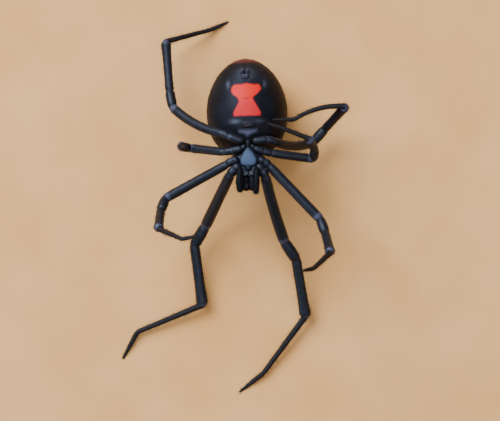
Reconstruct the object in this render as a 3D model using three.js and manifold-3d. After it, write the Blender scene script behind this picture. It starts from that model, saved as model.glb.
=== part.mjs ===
// A female black widow spider, life size, lying belly up with her long legs held out and bent.
// Sizes are in millimetres. Z points up, out of her belly, and Y from her head to her spinnerets,
// so her left legs are at -X. The origin is the middle of the flat on the back of the abdomen,
// where she rests on the floor.
import * as THREE from "three";
import { mergeVertices } from "three/addons/utils/BufferGeometryUtils.js";
import Module from "manifold-3d";

const wasm = await Module();
wasm.setup();

// Neighbouring pieces meet face to face with this much room between them.
const GAP = 0.3;

const CUTICLE = { color: "#0d0d10", roughness: 0.35, metalness: 0 };
const RED_MARK = { color: "#e5482e", roughness: 0.4, metalness: 0 };

// An egg is a round body with its own length in front of and behind its widest section. A power of
// 2 rounds that half as an ellipse does, more makes it blunt and less makes it pointed.
// The abdomen sinks a little below the floor before it is cut off flat there.
const REST_SINK = 0.2;
const ABDOMEN = {
  centre: [0, 0, 4.15],
  halfWidth: 3.95,
  front: 4.45,
  rear: 5.2,
  up: 4.15,
  down: 4.15 + REST_SINK,
  frontPower: 2.3,
  rearPower: 1.9,
};

// The red hourglass on the belly: half its width at the ends and at the waist, and where they lie.
const HOURGLASS = {
  halfWidth: 1.42,
  waistHalfWidth: 0.72,
  front: -0.52,
  waist: 1.15,
  shoulder: 2.0,
  rear: 2.45,
  rearPeak: 2.75,
  thickness: 0.6,
};

// Six spinnerets round a small slot, on the slope of the belly near the tip of the abdomen.
const SPINNERETS = {
  towards: [-0.03, 0.73, 0.68],
  direction: [0, 0.72, 0.69],
  ringRadius: 0.36,
  count: 6,
  length: 0.7,
  radius: 0.2,
  tipRadius: 0.12,
};

const EPIGYNUM = { y: -1.25, halfWidth: 0.5, halfLength: 0.32, height: 0.22 };

// The waist that joins the two halves of the body. The front body is measured from its front end.
const PEDICEL = { y: -3.0, z: 7.9, length: 0.75, drop: 0.35, radius: 0.28 };

const THORAX = {
  centre: [0, -1.95, -0.3],
  halfWidth: 1.62,
  front: 1.75,
  rear: 1.55,
  up: 0.85,
  down: 0.95,
  frontPower: 2,
  rearPower: 2,
};
const HEAD = {
  centre: [0, -3.1, -0.3],
  halfWidth: 1.0,
  front: 1.6,
  rear: 1.4,
  up: 0.7,
  down: 0.9,
  frontPower: 3.6,
  rearPower: 2,
};
const STERNUM = {
  centre: [0, -1.65, 0.75],
  halfWidth: 0.95,
  front: 0.62,
  rear: 1.3,
  up: 0.4,
  down: 0.4,
  frontPower: 2.8,
  rearPower: 1.35,
};
const LABIUM = {
  centre: [0, -2.45, 0.8],
  halfWidth: 0.32,
  front: 0.3,
  rear: 0.3,
  up: 0.32,
  down: 0.4,
  frontPower: 2,
  rearPower: 2,
};
const ENDITE = { from: [0.62, -2.35, 0.72], to: [0.3, -3.1, 0.85], radii: [0.28, 0.26, 0.2] };

// Eight eyes in two rows on the front of the head: how far each pair is turned out to the side,
// and how far down towards the back.
const EYES = [
  { side: 9, down: 18 },
  { side: 27, down: 22 },
  { side: 10, down: 36 },
  { side: 30, down: 36 },
];
const EYE_RADIUS = 0.13;

// The jaws hang from the front of the head towards the belly side, each with a short curved fang.
const CHELICERA = {
  from: [0.31, -3.95, 0.3],
  to: [0.31, -4.46, 1.15],
  radii: [0.26, 0.26, 0.25, 0.2],
};
const FANG = { to: [0.12, -4.12, 1.4], radii: [0.14, 0.1, 0.05] };

// The joints of each feeler from its root beside the mouth to its tip, measured on each side.
const PALP_RADII = [0.26, 0.25, 0.25, 0.18];
const PALPS = {
  left: [
    [-0.84, -2.7, 1.15],
    [-0.96, -3.5, 1.45],
    [-0.96, -4.1, 1.4],
    [-0.88, -4.6, 1.15],
  ],
  right: [
    [0.78, -2.7, 1.15],
    [0.78, -3.5, 1.45],
    [0.77, -4.2, 1.35],
    [0.72, -4.87, 1.1],
  ],
};

// The four pairs of legs, from the head back: the hip of the right one at the edge of the sternum,
// and the length of each of its seven pieces. thickness is the femur's, and the rest follow it.
const SEGMENTS = ["coxa", "trochanter", "femur", "patella", "tibia", "metatarsus", "tarsus"];
const LEG_PAIRS = [
  { hip: [0.72, -2.15, 0.6], lengths: [0.85, 0.68, 8.0, 2.2, 6.0, 7.0, 3.1], thickness: 1.08 },
  { hip: [0.88, -1.65, 0.6], lengths: [0.72, 0.64, 7.1, 1.6, 3.4, 3.9, 1.6], thickness: 0.94 },
  { hip: [0.5, -0.6, 0.6], lengths: [1.08, 0.8, 4.2, 1.3, 2.1, 3.0, 1.4], thickness: 0.86 },
  { hip: [0.42, 0.05, 0.6], lengths: [1.46, 0.67, 6.9, 1.7, 4.9, 5.2, 2.1], thickness: 0.92 },
];

// Half thicknesses along each piece, as shares of the leg's thickness.
const PROFILES = {
  coxa: [0.33, 0.37, 0.34],
  trochanter: [0.34, 0.39],
  femur: [0.42, 0.48, 0.5, 0.51, 0.49],
  patella: [0.5, 0.53, 0.5],
  tibia: [0.48, 0.45, 0.46, 0.5, 0.53],
  metatarsus: [0.31, 0.3, 0.3, 0.29],
  tarsus: [0.26, 0.24, 0.2, 0.11],
};

// The pose: for each piece from the hip out, the compass angle round Z from +X and the angle up
// from level, both in degrees.
const POSES = {
  leg_1_left: [
    [-148, -10],
    [-126, -18],
    [-118, -46],
    [-122, -15],
    [-84, -8],
    [-159, -4],
    [-120, -10],
  ],
  leg_1_right: [
    [-45, -10],
    [-67, -18],
    [-75, -34],
    [-58, -20],
    [-82, -18],
    [-128, -5],
    [-143, -10],
  ],
  leg_2_left: [
    [-173, -10],
    [-144, -18],
    [-153, -17],
    [-112, 38],
    [-96, 59],
    [-24, 50],
    [10, 22],
  ],
  leg_2_right: [
    [-22, -10],
    [-44, -18],
    [-48, 0],
    [-72, 28],
    [-79, 56],
    [-141, 56],
    [-170, 50],
  ],
  leg_3_left: [
    [-170, -10],
    [-171, -18],
    [171, -36],
    [170, 60],
    [172, 88],
    [-20, 86],
    [-30, 78],
  ],
  leg_3_right: [
    [-19, -10],
    [-15, -18],
    [-9, -14],
    [80, 50],
    [115, 57],
    [157, 12],
    [162, 8],
  ],
  leg_4_left: [
    [160, -5],
    [150, -18],
    [150, -35],
    [99, -18],
    [93, -7],
    [15, -30],
    [23, -16],
  ],
  leg_4_right: [
    [6, -5],
    [-16, -18],
    [-1, -55],
    [47, 5],
    [46, 55.5],
    [-167, 8],
    [179, 10],
  ],
};
// How far a piece bends to the left of its own direction.
const BOWS = {
  leg_1_right: { femur: -0.1 },
  leg_4_left: { femur: 0.42 },
  leg_4_right: { femur: -0.45, metatarsus: -0.45 },
};

const EGG_SIDES = 36;
const SMALL_EGG_SIDES = 18;
const LIMB_SIDES = 10;
const CAP_STEPS = 2;

// A closed geometry as a solid that can be joined and cut.
function solidOf(geometry) {
  geometry.deleteAttribute("normal");
  geometry.deleteAttribute("uv");
  const merged = mergeVertices(geometry, 1e-4);
  const index = merged.index.array;
  const triVerts = [];
  for (let i = 0; i < index.length; i += 3) {
    const [a, b, c] = index.slice(i, i + 3);
    if (a !== b && b !== c && c !== a) triVerts.push(a, b, c);
  }
  return new wasm.Manifold(
    new wasm.Mesh({
      numProp: 3,
      vertProperties: new Float32Array(merged.attributes.position.array),
      triVerts: new Uint32Array(triVerts),
    }),
  );
}

function join(solids) {
  return solids.reduce((all, solid) => all.add(solid));
}

// The largest closed surface of a solid, without scraps or sealed hollows.
function largestBody(solid) {
  return solid.decompose().reduce((best, body) => (body.volume() > best.volume() ? body : best));
}

// A named mesh of a solid, in its material.
function piece(name, solid, finish) {
  const { vertProperties, triVerts, numProp } = largestBody(solid).getMesh();
  const positions = [];
  for (let i = 0; i < vertProperties.length; i += numProp) {
    positions.push(...vertProperties.subarray(i, i + 3));
  }
  const geometry = new THREE.BufferGeometry();
  geometry.setAttribute("position", new THREE.Float32BufferAttribute(positions, 3));
  geometry.setIndex(new THREE.BufferAttribute(triVerts, 1));
  geometry.computeVertexNormals();
  const mesh = new THREE.Mesh(geometry, new THREE.MeshStandardMaterial(finish));
  mesh.name = name;
  return mesh;
}

// The point of an egg's surface that a unit direction from its centre leads to.
function eggPoint(egg, direction) {
  const inFront = direction.y < 0;
  const power = inFront ? egg.frontPower : egg.rearPower;
  const reach = inFront ? -egg.front : egg.rear;
  const ring = Math.hypot(direction.x, direction.z);
  const swell = ring > 1e-6 ? ring ** (2 / power - 1) : 0;
  const along = Math.abs(direction.y) ** (2 / power);
  const height = direction.z > 0 ? egg.up : egg.down;
  const point = new THREE.Vector3(
    direction.x * swell * egg.halfWidth,
    along * reach,
    direction.z * swell * height,
  );
  return point.add(new THREE.Vector3(...egg.centre));
}

// An egg as a solid, made larger or smaller all over by grow.
function eggSolid(egg, sides, grow = 0) {
  const grown = { ...egg };
  for (const size of ["halfWidth", "front", "rear", "up", "down"]) grown[size] += grow;
  const geometry = new THREE.SphereGeometry(1, sides, Math.round(sides * 0.7));
  const position = geometry.attributes.position;
  for (let i = 0; i < position.count; i += 1) {
    const point = eggPoint(grown, new THREE.Vector3().fromBufferAttribute(position, i));
    position.setXYZ(i, point.x, point.y, point.z);
  }
  return solidOf(geometry);
}

// A round limb between two joints, with ball ends. radii are its half thicknesses at equal steps,
// and bow bends its middle sideways, level with the floor.
function limbSolid(from, to, radii, bow = 0) {
  const span = to.clone().sub(from);
  const length = span.length();
  const direction = span.normalize();
  const profile = [];
  for (let i = 0; i < CAP_STEPS; i += 1) {
    const turn = (Math.PI / 2) * (1 - i / CAP_STEPS);
    profile.push(new THREE.Vector2(radii[0] * Math.cos(turn), -radii[0] * Math.sin(turn)));
  }
  radii.forEach((radius, i) => {
    profile.push(new THREE.Vector2(radius, (length * i) / (radii.length - 1)));
  });
  const last = radii[radii.length - 1];
  for (let i = 1; i <= CAP_STEPS; i += 1) {
    const turn = (Math.PI / 2) * (i / CAP_STEPS);
    profile.push(new THREE.Vector2(last * Math.cos(turn), length + last * Math.sin(turn)));
  }
  profile[0].x = 0;
  profile[profile.length - 1].x = 0;
  const geometry = new THREE.LatheGeometry(profile, LIMB_SIDES);
  const turned = new THREE.Quaternion().setFromUnitVectors(new THREE.Vector3(0, 1, 0), direction);
  const sideways = new THREE.Vector3(-direction.y, direction.x, 0).normalize();
  const position = geometry.attributes.position;
  for (let i = 0; i < position.count; i += 1) {
    const point = new THREE.Vector3().fromBufferAttribute(position, i);
    const share = THREE.MathUtils.clamp(point.y / length, 0, 1);
    point.applyQuaternion(turned).add(from);
    point.addScaledVector(sideways, bow * (1 - (2 * share - 1) ** 2));
    position.setXYZ(i, point.x, point.y, point.z);
  }
  return solidOf(geometry);
}

const vector = (values) => new THREE.Vector3(...values);
const mirrored = ([x, y, z], sign) => new THREE.Vector3(x * sign, y, z);
const scaled = (shares, size) => shares.map((share) => share * size);

// The hourglass seen from above, as a column through the belly, with its outline moved out by grow.
function hourglassColumn(grow) {
  const wide = HOURGLASS.halfWidth + grow;
  const narrow = HOURGLASS.waistHalfWidth + grow;
  const front = HOURGLASS.front - grow;
  const rear = HOURGLASS.rear + grow;
  const bend = HOURGLASS.waist + 0.35;
  const { shoulder } = HOURGLASS;
  const outline = new THREE.Shape();
  outline.moveTo(-wide, front);
  outline.lineTo(wide, front);
  outline.bezierCurveTo(wide - 0.3, 0.2, narrow, 0.7, narrow, HOURGLASS.waist);
  outline.bezierCurveTo(narrow, bend, wide, shoulder - 0.3, wide, shoulder);
  outline.lineTo(wide, rear);
  outline.quadraticCurveTo(0.5, rear, 0, HOURGLASS.rearPeak + grow);
  outline.quadraticCurveTo(-0.5, rear, -wide, rear);
  outline.lineTo(-wide, shoulder);
  outline.bezierCurveTo(-wide, shoulder - 0.3, -narrow, bend, -narrow, HOURGLASS.waist);
  outline.bezierCurveTo(-narrow, 0.7, -wide + 0.3, 0.2, -wide, front);
  const column = { depth: 2 * ABDOMEN.up, bevelEnabled: false, curveSegments: 6 };
  const geometry = new THREE.ExtrudeGeometry(outline, column);
  geometry.translate(0, 0, ABDOMEN.centre[2]);
  return solidOf(geometry);
}

// The abdomen with its spinnerets, epigynum and pedicel, and a shallow bed for the hourglass.
function abdomenSolid() {
  const body = eggSolid(ABDOMEN, EGG_SIDES);
  const bedFloor = eggSolid(ABDOMEN, EGG_SIDES, -HOURGLASS.thickness - GAP);
  const bed = hourglassColumn(GAP).subtract(bedFloor);
  const out = vector(SPINNERETS.direction).normalize();
  const spinneretRoot = eggPoint(ABDOMEN, vector(SPINNERETS.towards).normalize());
  const across = new THREE.Vector3(1, 0, 0);
  const along = new THREE.Vector3().crossVectors(out, across);
  const spinnerets = [];
  for (let i = 0; i < SPINNERETS.count; i += 1) {
    const turn = ((i + 0.5) / SPINNERETS.count) * 2 * Math.PI;
    const offset = across.clone().multiplyScalar(Math.cos(turn)).addScaledVector(along, Math.sin(turn));
    const from = spinneretRoot.clone().addScaledVector(offset, SPINNERETS.ringRadius);
    const to = from.clone().addScaledVector(out, SPINNERETS.length);
    from.addScaledVector(out, -SPINNERETS.length / 2);
    spinnerets.push(limbSolid(from, to, [SPINNERETS.radius, SPINNERETS.radius, SPINNERETS.tipRadius]));
  }
  const epigynum = eggSolid(
    {
      centre: [0, EPIGYNUM.y, ABDOMEN.centre[2] + ABDOMEN.up * 0.975],
      halfWidth: EPIGYNUM.halfWidth,
      front: EPIGYNUM.halfLength,
      rear: EPIGYNUM.halfLength,
      up: EPIGYNUM.height,
      down: EPIGYNUM.height,
      frontPower: 2,
      rearPower: 2,
    },
    SMALL_EGG_SIDES,
  );
  const pedicelFront = new THREE.Vector3(0, PEDICEL.y + PEDICEL.radius / 2, PEDICEL.z);
  const pedicelRoot = pedicelFront.clone().add(new THREE.Vector3(0, PEDICEL.length, -PEDICEL.drop));
  const pedicel = limbSolid(pedicelRoot, pedicelFront, [PEDICEL.radius, PEDICEL.radius]);
  return join([body.subtract(bed), ...spinnerets, epigynum, pedicel]).trimByPlane([0, 0, 1], 0);
}

// The hourglass as a thin red plate, flush with the belly.
function hourglassSolid() {
  const underside = eggSolid(ABDOMEN, EGG_SIDES, -HOURGLASS.thickness);
  return eggSolid(ABDOMEN, EGG_SIDES).intersect(hourglassColumn(0)).subtract(underside);
}

// Halves of the gap on the two sides of a joint: the plane there faces halfway between the
// directions of the two pieces that meet.
function cutBefore(solid, joint, facing) {
  return solid.trimByPlane(facing.clone().negate().toArray(), -facing.dot(joint) + GAP / 2);
}
function cutAfter(solid, joint, facing) {
  return solid.trimByPlane(facing.toArray(), facing.dot(joint) + GAP / 2);
}

// Where the joints of one leg lie, from the hip to the tip, in the front body's own frame.
function legJoints(pair, pose, sign) {
  const joints = [mirrored(pair.hip, sign)];
  pose.forEach(([turn, rise], i) => {
    const azimuth = THREE.MathUtils.degToRad(turn);
    const elevation = THREE.MathUtils.degToRad(rise);
    const step = new THREE.Vector3(
      Math.cos(elevation) * Math.cos(azimuth),
      Math.cos(elevation) * Math.sin(azimuth),
      Math.sin(elevation),
    );
    joints.push(joints[joints.length - 1].clone().addScaledVector(step, pair.lengths[i]));
  });
  return joints;
}

// The plane direction at joint number i of a leg.
function facingAt(joints, i) {
  const before = joints[i].clone().sub(joints[i - 1]).normalize();
  const after = joints[i + 1].clone().sub(joints[i]).normalize();
  return before.add(after).normalize();
}

// One leg: its coxa, which is fused to the front body, and its three nodes.
function legSolids(name, pair, sign) {
  const joints = legJoints(pair, POSES[name], sign);
  const bows = BOWS[name] ?? {};
  const pieces = SEGMENTS.map((segment, i) =>
    limbSolid(joints[i], joints[i + 1], scaled(PROFILES[segment], pair.thickness), bows[segment]),
  );
  const [coxa, trochanter, femur, patella, tibia, metatarsus, tarsus] = pieces;
  const [hipJoint, knee, ankle] = [1, 3, 5].map((i) => ({ at: joints[i], facing: facingAt(joints, i) }));
  const floor = -PEDICEL.z;
  const nodes = {
    femur: cutAfter(trochanter, hipJoint.at, hipJoint.facing).add(cutBefore(femur, knee.at, knee.facing)),
    tibia: cutAfter(patella, knee.at, knee.facing).add(cutBefore(tibia, ankle.at, ankle.facing)),
    foot: cutAfter(metatarsus, ankle.at, ankle.facing).add(tarsus),
  };
  for (const node of Object.keys(nodes)) nodes[node] = nodes[node].trimByPlane([0, 0, 1], floor);
  return { coxa: cutBefore(coxa, hipJoint.at, hipJoint.facing), nodes };
}

// The front body: carapace, sternum, mouth parts, eyes and the eight coxae in one.
function frontBodySolid(coxae) {
  const eyes = EYES.flatMap(({ side, down }) =>
    [-1, 1].map((sign) => {
      const turn = THREE.MathUtils.degToRad(side);
      const dip = THREE.MathUtils.degToRad(down);
      const direction = new THREE.Vector3(
        sign * Math.sin(turn) * Math.cos(dip),
        -Math.cos(turn) * Math.cos(dip),
        -Math.sin(dip),
      );
      const at = eggPoint(HEAD, direction);
      const geometry = new THREE.SphereGeometry(EYE_RADIUS, 7, 5).translate(at.x, at.y, at.z);
      return solidOf(geometry);
    }),
  );
  const endites = [-1, 1].map((sign) =>
    limbSolid(mirrored(ENDITE.from, sign), mirrored(ENDITE.to, sign), ENDITE.radii),
  );
  const shells = [THORAX, HEAD, STERNUM, LABIUM].map((egg) => eggSolid(egg, SMALL_EGG_SIDES));
  return join([...shells, ...endites, ...eyes, ...coxae]);
}

// The room that jaws and feelers keep from the front body they grow from.
function roomRoundHead() {
  const shells = [THORAX, HEAD, STERNUM, LABIUM].map((egg) => eggSolid(egg, SMALL_EGG_SIDES, GAP));
  const wide = (radii) => radii.map((radius) => radius + GAP);
  const [firstPair] = LEG_PAIRS;
  const coxaRadii = wide(scaled(PROFILES.coxa, firstPair.thickness));
  const limbs = [["left", -1], ["right", 1]].flatMap(([side, sign]) => {
    const [hip, coxaEnd] = legJoints(firstPair, POSES[`leg_1_${side}`], sign);
    return [
      limbSolid(mirrored(ENDITE.from, sign), mirrored(ENDITE.to, sign), wide(ENDITE.radii)),
      limbSolid(hip, coxaEnd, coxaRadii),
    ];
  });
  return join([...shells, ...limbs]);
}

function cheliceraSolid(sign) {
  const tip = mirrored(CHELICERA.to, sign);
  const jaw = limbSolid(mirrored(CHELICERA.from, sign), tip, CHELICERA.radii);
  const fang = limbSolid(tip, mirrored(FANG.to, sign), FANG.radii);
  return jaw.add(fang).subtract(roomRoundHead());
}

function palpSolid(side) {
  const joints = PALPS[side].map(vector);
  const lengths = joints.slice(1).map((joint, i) =>
    limbSolid(joints[i], joint, [PALP_RADII[i], PALP_RADII[i + 1]]),
  );
  return join(lengths).subtract(roomRoundHead());
}

const spider = new THREE.Group();
spider.add(piece("abdomen", abdomenSolid(), CUTICLE));
spider.add(piece("hourglass_mark", hourglassSolid(), RED_MARK));

const frontBody = new THREE.Group();
frontBody.position.set(0, PEDICEL.y, PEDICEL.z);
spider.add(frontBody);

const coxae = [];
for (const [side, sign] of [["left", -1], ["right", 1]]) {
  LEG_PAIRS.forEach((pair, i) => {
    const name = `leg_${i + 1}_${side}`;
    const { coxa, nodes } = legSolids(name, pair, sign);
    coxae.push(coxa);
    for (const [node, solid] of Object.entries(nodes)) {
      frontBody.add(piece(`${name}_${node}`, solid, CUTICLE));
    }
  });
  frontBody.add(piece(`chelicera_${side}`, cheliceraSolid(sign), CUTICLE));
  frontBody.add(piece(`pedipalp_${side}`, palpSolid(side), CUTICLE));
}
frontBody.add(piece("cephalothorax", frontBodySolid(coxae), CUTICLE));

export default spider;
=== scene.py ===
# %% [markdown]
# # A black widow, belly up
# She is a female, 12.7 mm from jaws to spinnerets, lying on her back with her legs held out.
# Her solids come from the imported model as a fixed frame. This script dresses them: smooth skins
# with soft joints take the place of the faceted pieces, and hairs, claws and eyes are added.
# Everything is worked out in millimetres and turned to metres as it goes into a mesh.

# %% Load the frame
import bpy
import numpy as np
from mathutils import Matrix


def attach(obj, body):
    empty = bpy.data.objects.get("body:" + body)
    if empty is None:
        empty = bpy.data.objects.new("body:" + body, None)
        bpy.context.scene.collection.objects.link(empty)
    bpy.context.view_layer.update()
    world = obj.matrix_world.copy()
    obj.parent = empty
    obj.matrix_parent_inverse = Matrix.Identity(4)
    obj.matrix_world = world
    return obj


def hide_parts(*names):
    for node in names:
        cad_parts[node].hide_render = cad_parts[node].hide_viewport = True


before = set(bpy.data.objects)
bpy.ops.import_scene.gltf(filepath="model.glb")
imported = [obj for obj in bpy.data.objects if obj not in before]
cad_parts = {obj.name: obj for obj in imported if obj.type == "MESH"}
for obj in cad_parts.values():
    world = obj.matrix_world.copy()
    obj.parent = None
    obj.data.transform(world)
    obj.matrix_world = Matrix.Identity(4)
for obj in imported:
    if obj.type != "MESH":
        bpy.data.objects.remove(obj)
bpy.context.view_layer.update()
MM = 0.001
rng = np.random.default_rng(11)
print(len(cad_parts), "solids")

# %% [markdown]
# ## Meshes from arrays
# Every piece is a grid of points: rings along a path or round an egg, each ring joined to the next
# by four-sided faces, and closed at both ends by a point. Working on whole arrays keeps this fast,
# and a grid also gives each point a natural place on an unwrap: how far along, and how far round.

# %% Faces of a closed grid
def closed_grid(grid):
    """Points and faces of rings of points, with a pole at the middle of the first and last ring.
    Ring r's point c is number r * columns + c, and the two poles come last."""
    rows, columns = grid.shape[:2]
    row, column = np.meshgrid(np.arange(rows - 1), np.arange(columns), indexing="ij")
    beside = (column + 1) % columns
    corners = [row * columns + column, row * columns + beside]
    corners += [corner + columns for corner in corners[::-1]]
    quads = np.stack(corners, axis=-1).reshape(-1, 4)
    first = np.arange(columns)
    second = (first + 1) % columns
    last_ring = (rows - 1) * columns
    start, end = rows * columns, rows * columns + 1
    start_cap = np.stack([np.full(columns, start), second, first], axis=-1)
    end_cap = np.stack([np.full(columns, end), last_ring + first, last_ring + second], axis=-1)
    poles = [grid[0].mean(axis=0), grid[-1].mean(axis=0)]
    points = np.concatenate([grid.reshape(-1, 3), poles])
    return points, quads, np.concatenate([start_cap, end_cap])


def with_poles(values):
    """One value per grid point, with the poles' values after them."""
    return np.concatenate([values.ravel(), [values[0].mean(), values[-1].mean()]])


print("3 rings of 8 points make", len(closed_grid(np.zeros((3, 8, 3)))[1]), "four-sided faces")


# %% A mesh and a piece
def make_mesh(name, points, quads, triangles, values=None):
    """A smooth mesh from points in millimetres. values names numbers kept on its points."""
    corners = np.concatenate([np.ravel(quads), np.ravel(triangles)]).astype(np.int32)
    sizes = np.repeat([4, 3], [len(quads), len(triangles)])
    mesh = bpy.data.meshes.new(name)
    mesh.vertices.add(len(points))
    mesh.vertices.foreach_set("co", np.ravel(points * MM))
    mesh.loops.add(len(corners))
    mesh.loops.foreach_set("vertex_index", corners)
    mesh.polygons.add(len(sizes))
    mesh.polygons.foreach_set("loop_start", np.cumsum(sizes) - sizes)
    for label, numbers in (values or {}).items():
        mesh.attributes.new(label, "FLOAT", "POINT").data.foreach_set("value", np.ravel(numbers))
    mesh.update(calc_edges=True)
    mesh.shade_smooth()
    return mesh


def in_scene(name, data):
    """A new object in the scene, for a mesh, a light or a camera."""
    thing = bpy.data.objects.new(name, data)
    bpy.context.scene.collection.objects.link(thing)
    return thing


def add_piece(mesh, material, replaces=()):
    """Puts a mesh in the scene as a piece of the spider, in place of the solids it replaces."""
    piece = in_scene(mesh.name, mesh)
    mesh.materials.append(material)
    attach(piece, "root")
    if replaces:
        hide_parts(*replaces)


def joined(parts):
    """Several sets of points, four-sided and three-sided faces as one set."""
    starts = np.cumsum([0] + [len(points) for points, _, _ in parts])
    points = np.concatenate([part[0] for part in parts])
    quads = np.concatenate([part[1] + start for part, start in zip(parts, starts)])
    triangles = np.concatenate([part[2] + start for part, start in zip(parts, starts)])
    return points, quads, triangles


def add_grids(name, grids, material, replaces=(), values=None):
    """Adds closed grids of points as one piece. values names numbers kept on the points: an array
    for each grid that spreads over it, such as a column with one number per ring."""
    numbers = {}
    for label, arrays in (values or {}).items():
        spread = [np.broadcast_to(array, grid.shape[:2]) for array, grid in zip(arrays, grids)]
        numbers[label] = np.concatenate([with_poles(array) for array in spread])
    mesh = make_mesh(name, *joined([closed_grid(grid) for grid in grids]), numbers)
    add_piece(mesh, material, replaces)
    print(name, len(mesh.vertices), "points")


print("mesh helpers are ready")


# %% [markdown]
# ## Finishes
# A spider's shell is cuticle: layers of chitin under a thin waxy film. It bends light a little more
# than glass does (IOR 1.56), it is not metal, and its wax makes it glossy but never mirror sharp.
# Hers is nearly black. Colours are sRGB hex values that one function turns to linear light, and one
# small function adds a node with its settings and links.

# %% Colour and node helpers
def colour(code):
    """An sRGB hex colour as linear red, green, blue and 1: below 0.04045 a straight line, above it
    a power of 2.4."""
    srgb = np.array([int(code[i : i + 2], 16) for i in (1, 3, 5)]) / 255
    linear = np.where(srgb <= 0.04045, srgb / 12.92, ((srgb + 0.055) / 1.055) ** 2.4)
    return (*linear.tolist(), 1.0)


def put(tree, kind, values=None, links=None, **settings):
    """Adds a node. values are numbers for its sockets, links the outputs that feed its sockets."""
    node = tree.nodes.new(kind)
    for name, value in settings.items():
        setattr(node, name, value)
    for socket, value in (values or {}).items():
        node.inputs[socket].default_value = value
    for socket, output in (links or {}).items():
        tree.links.new(output, node.inputs[socket])
    return node


def new_material(name):
    material = bpy.data.materials.new(name)
    material.use_nodes = True
    material.node_tree.nodes.clear()
    return material, material.node_tree


def per_mm(size):
    """The scale that makes a noise pattern's features about this many millimetres."""
    return 1 / (size * MM)


def finish(tree, **sockets):
    """A Principled shader on the material's surface. A socket takes a number, a colour or an output."""
    shader = put(tree, "ShaderNodeBsdfPrincipled")
    for name, value in sockets.items():
        socket = shader.inputs[name.replace("_", " ")]
        if isinstance(value, bpy.types.NodeSocket):
            tree.links.new(value, socket)
        else:
            socket.default_value = value
    put(tree, "ShaderNodeOutputMaterial", links={"Surface": shader.outputs[0]})


def blend(tree, factor, first, second):
    """A colour that goes from first to second with factor. Either is a hex colour or an output."""
    mix = put(tree, "ShaderNodeMix", data_type="RGBA")
    tree.links.new(factor, mix.inputs["Factor"])
    for socket, value in ((mix.inputs[6], first), (mix.inputs[7], second)):
        if isinstance(value, str):
            socket.default_value = colour(value)
        else:
            tree.links.new(value, socket)
    return mix.outputs[2]


def stored(tree, name):
    """A number kept on the mesh's points."""
    return put(tree, "ShaderNodeAttribute", attribute_name=name).outputs["Fac"]


def ramp(tree, value, low, high, to_low=0.0, to_high=1.0):
    """Smooth step: value from low to high becomes to_low to to_high."""
    limits = {"From Min": low, "From Max": high, "To Min": to_low, "To Max": to_high}
    node = put(tree, "ShaderNodeMapRange", limits, {"Value": value}, interpolation_type="SMOOTHSTEP")
    return node.outputs[0]


NOISE_ROUGHNESS = 0.55


def noise(tree, size, detail=3.0):
    """Soft cloudy noise with features of the given size in millimetres."""
    place = put(tree, "ShaderNodeTexCoord").outputs["Object"]
    values = {"Scale": per_mm(size), "Detail": detail, "Roughness": NOISE_ROUGHNESS}
    return put(tree, "ShaderNodeTexNoise", values, {"Vector": place}).outputs["Fac"]


def bump(tree, height, depth, normal=None):
    """Bends the shading as if the surface rose and fell by depth millimetres."""
    links = {"Height": height}
    if normal:
        links["Normal"] = normal
    return put(tree, "ShaderNodeBump", {"Distance": depth * MM, "Strength": 1.0}, links).outputs[0]


print("sRGB #808080 is %.3f in linear light" % colour("#808080")[0])


# %% The cuticle's own shader
CHITIN_IOR = 1.56


def cuticle(tree, tone, roughness, shine, normal):
    """Cuticle in a colour. shine is its specular level: far below the usual 0.5, as fine wax and
    dust scatter most of the light that bare chitin would throw back."""
    sockets = dict(Base_Color=tone, Roughness=roughness, Specular_IOR_Level=shine, Normal=normal)
    finish(tree, IOR=CHITIN_IOR, **sockets)


print("chitin bends light with an IOR of", CHITIN_IOR)


# %% [markdown]
# The abdomen's skin is leathery and stretched tight, so it is satin, a little duller than the legs.
# The marks are numbers kept on the mesh: mark is the distance in millimetres inside the hourglass's
# edge, spot the same for the red spot over her spinnerets and the bar's the same for a painted
# highlight in grey across her waist, and stain and pale go from 0 to 1. Pale is partly the skin's
# own tone and partly painted sheen. The shader turns distance into colour, so edges stay sharp
# however coarse the grid is.

# %% The abdomen's cuticle
HOURGLASS_RED = "#b4180a"
HOURGLASS_PINK = "#aa1818"
STAIN_RED = "#7c1410"
SPOT_RED = "#4c1c1a"
# The grey of the bar over her waist is a painted highlight, where the skin there faces the light.
BAR_HIGHLIGHT_GREY = "#474450"
# In millimetres: how far each mark's edge fades, how far the edges wander and over what length,
# and where along her the hourglass is fully red, behind, and fully pink, in front.
SOFTNESS = {"mark": 0.12, "spot": 0.25, "highlight_bar": 0.28}
WANDER, WANDER_LENGTH = 0.16, 0.35
RED_Y, PINK_Y = 1.4, 0.6


def marked_colour(tree, plain):
    """The marks over a plain colour. Their edges wander by a few hundredths of a millimetre: noise,
    less its mean of a half, times WANDER is added to the distance inside the edge."""
    cloud = noise(tree, WANDER_LENGTH)
    wander = put(tree, "ShaderNodeMath", {1: 0.5}, {0: cloud}, operation="SUBTRACT")
    wander = put(tree, "ShaderNodeMath", {1: WANDER}, {0: wander.outputs[0]}, operation="MULTIPLY")
    edges = {}
    for name, softness in SOFTNESS.items():
        links = {0: stored(tree, name), 1: wander.outputs[0]}
        inside = put(tree, "ShaderNodeMath", links=links, operation="ADD").outputs[0]
        edges[name] = ramp(tree, inside, -softness, softness)
    place = put(tree, "ShaderNodeTexCoord").outputs["Object"]
    along = put(tree, "ShaderNodeSeparateXYZ", links={0: place}).outputs["Y"]
    red = blend(tree, ramp(tree, along, RED_Y * MM, PINK_Y * MM), HOURGLASS_RED, HOURGLASS_PINK)
    red = blend(tree, stored(tree, "stain"), red, STAIN_RED)
    with_spot = blend(tree, edges["spot"], plain, SPOT_RED)
    # The bar over her waist is a painted highlight in grey.
    with_highlight_bar = blend(tree, edges["highlight_bar"], with_spot, BAR_HIGHLIGHT_GREY)
    return blend(tree, edges["mark"], with_highlight_bar, red)


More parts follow.
